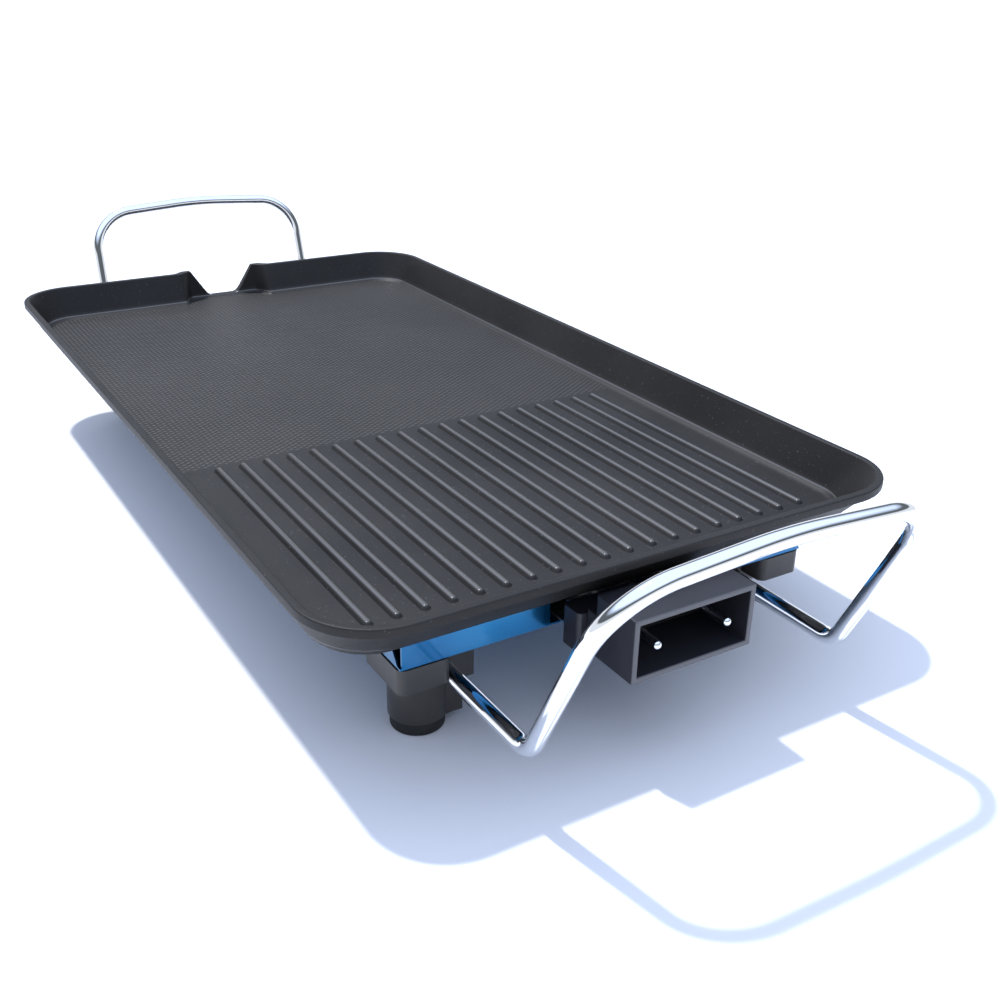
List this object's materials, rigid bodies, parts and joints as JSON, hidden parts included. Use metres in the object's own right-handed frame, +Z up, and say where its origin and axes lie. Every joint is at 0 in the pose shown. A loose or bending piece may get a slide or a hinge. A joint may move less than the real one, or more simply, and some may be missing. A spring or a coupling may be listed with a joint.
{
  "type": "electric griddle",
  "caption": "Table-top electric griddle: rectangular cast plate with ribs and a drain notch, on a folded reflector tray with legs, bent rod handles and a plug-in control inlet.",
  "frame": {"origin": "centre of the overall box, on the surface it stands on", "axes": "+Z up, +X towards the end with the control inlet, Y across the plate"},
  "size_m": [0.6155, 0.28, 0.1221],
  "materials": {
    "nonstick_casting": "cast aluminium under a dark grey non-stick coating, satin",
    "blue_film_steel": "bright folded sheet under a blue protective film, mirror-like",
    "bakelite": "dark brown-black moulded bakelite, semi-gloss",
    "housing_plastic": "black heat-resistant moulding, satin",
    "chrome": "polished chrome plate",
    "zinc_steel": "bright zinc-plated steel",
    "sheath_steel": "heat-darkened stainless heater sheath",
    "ceramic": "unglazed white ceramic",
    "rubber": "black moulded rubber, matt",
    "phenolic": "dark brown laminate board"
  },
  "bodies": {
    "root": {"grill_plate": "nonstick_casting", "reflector_tray": "blue_film_steel", "leg_bracket_inlet_left": "bakelite", "leg_bracket_inlet_right": "bakelite", "leg_bracket_drain_left": "bakelite", "leg_bracket_drain_right": "bakelite", "foot_pad_inlet_left": "rubber", "foot_pad_inlet_right": "rubber", "foot_pad_drain_left": "rubber", "foot_pad_drain_right": "rubber", "leg_screw_inlet_left": "zinc_steel", "leg_screw_inlet_right": "zinc_steel", "leg_screw_drain_left": "zinc_steel", "leg_screw_drain_right": "zinc_steel", "handle_screw_inlet_left": "zinc_steel", "handle_screw_inlet_right": "zinc_steel", "handle_screw_drain_left": "zinc_steel", "handle_screw_drain_right": "zinc_steel", "handle_inlet_end": "chrome", "handle_drain_end": "chrome", "heating_element": "sheath_steel", "heater_clamp_inlet_left": "zinc_steel", "heater_clamp_inlet_right": "zinc_steel", "heater_clamp_drain_left": "zinc_steel", "heater_clamp_drain_right": "zinc_steel", "clamp_screw_inlet_left_a": "zinc_steel", "clamp_screw_inlet_left_b": "zinc_steel", "clamp_screw_inlet_right_a": "zinc_steel", "clamp_screw_inlet_right_b": "zinc_steel", "clamp_screw_drain_left_a": "zinc_steel", "clamp_screw_drain_left_b": "zinc_steel", "clamp_screw_drain_right_a": "zinc_steel", "clamp_screw_drain_right_b": "zinc_steel", "contact_pin_left": "chrome", "contact_pin_right": "chrome", "ceramic_bead_left": "ceramic", "ceramic_bead_right": "ceramic", "socket_bracket": "zinc_steel", "bracket_screw_left": "zinc_steel", "bracket_screw_right": "zinc_steel", "board_screw_left": "zinc_steel", "board_screw_right": "zinc_steel", "terminal_box": "housing_plastic", "socket_shroud": "housing_plastic", "terminal_board": "phenolic", "probe_guide": "zinc_steel"}
  },
  "joints": []
}
